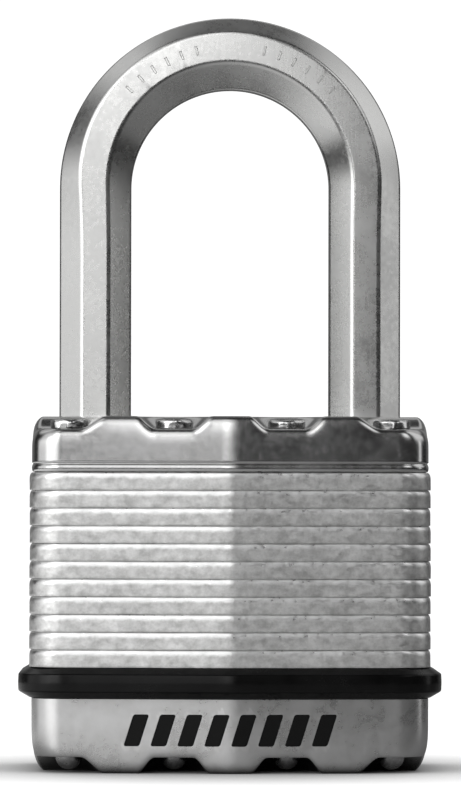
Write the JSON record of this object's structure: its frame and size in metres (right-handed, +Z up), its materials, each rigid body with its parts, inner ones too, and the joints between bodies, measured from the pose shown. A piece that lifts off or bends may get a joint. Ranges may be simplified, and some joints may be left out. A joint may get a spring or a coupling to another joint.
{
  "type": "laminated padlock",
  "caption": "Closed laminated steel padlock with a long octagonal shackle, pressed end covers, a rubber bumper ring and a key cylinder in the base.",
  "frame": {"origin": "middle of the resting face under the bottom cover", "axes": "+Z up along the shackle legs, +X across the width from the heel leg to the toe leg, -Y towards the front"},
  "size_m": [0.0468, 0.0294, 0.0839],
  "materials": {
    "plate_steel": "zinc-plated, fine matte grain",
    "cover_steel": "bright pressed stainless steel, satin",
    "shackle_steel": "satin chrome over ground steel",
    "rivet_steel": "bright peened steel",
    "hardened_steel": "hardened, oiled",
    "spring_steel": "drawn wire",
    "ball_steel": "polished",
    "cam_zinc": "die-cast zinc",
    "cylinder_brass": "machined",
    "bumper_rubber": "moulded, satin"
  },
  "bodies": {
    "body": {"top_cover": "cover_steel", "bottom_cover": "cover_steel", "bumper": "bumper_rubber", "guard_plate": "hardened_steel", "plate_01": "plate_steel", "plate_02": "plate_steel", "plate_03": "plate_steel", "plate_04": "plate_steel", "plate_05": "plate_steel", "plate_06": "plate_steel", "plate_07": "plate_steel", "plate_08": "plate_steel", "plate_09": "plate_steel", "plate_10": "plate_steel", "plate_11": "plate_steel", "plate_12": "plate_steel", "plate_13": "plate_steel", "plate_14": "plate_steel", "plate_15": "plate_steel", "plate_16": "plate_steel", "plate_17": "plate_steel", "rivet_front_1": "rivet_steel", "rivet_front_2": "rivet_steel", "rivet_front_3": "rivet_steel", "rivet_front_4": "rivet_steel", "rivet_back_1": "rivet_steel", "rivet_back_2": "rivet_steel", "rivet_back_3": "rivet_steel", "rivet_back_4": "rivet_steel", "shackle_spring": "spring_steel", "cam_spring": "spring_steel", "cylinder_shell": "cylinder_brass", "spring_cap": "cylinder_brass", "driver_pin_1": "ball_steel", "driver_pin_2": "ball_steel", "driver_pin_3": "ball_steel", "driver_pin_4": "ball_steel", "pin_spring_1": "spring_steel", "pin_spring_2": "spring_steel", "pin_spring_3": "spring_steel", "pin_spring_4": "spring_steel"},
    "shackle": {"shackle": "shackle_steel"},
    "plug": {"key_plug": "cylinder_brass", "plug_clip": "spring_steel", "cam": "cam_zinc", "key_pin_1": "cylinder_brass", "key_pin_2": "cylinder_brass", "key_pin_3": "cylinder_brass", "key_pin_4": "cylinder_brass"},
    "heel_ball": {"heel_ball": "ball_steel"},
    "toe_ball": {"toe_ball": "ball_steel"}
  },
  "joints": [
    {"name": "shackle_lift", "type": "slide", "parent": "body", "child": "shackle", "axis": [0, 0, 1], "range_m": [0, 0.0135], "deforming": ["shackle_spring"]},
    {"name": "key_turn", "type": "hinge", "parent": "body", "child": "plug", "pos_m": [0, 0, 0.0125], "axis": [0, 0, 1], "range_deg": [-90, 0]},
    {"name": "heel_ball_slide", "type": "slide", "parent": "body", "child": "heel_ball", "axis": [-1, 0, 0], "range_m": [0, 0.00115]},
    {"name": "toe_ball_slide", "type": "slide", "parent": "body", "child": "toe_ball", "axis": [1, 0, 0], "range_m": [0, 0.00175]}
  ],
  "couplings": [
    {"joint": "heel_ball_slide", "follows": "key_turn", "m_per_rad": -0.000732},
    {"joint": "toe_ball_slide", "follows": "key_turn", "m_per_rad": -0.001114}
  ]
}
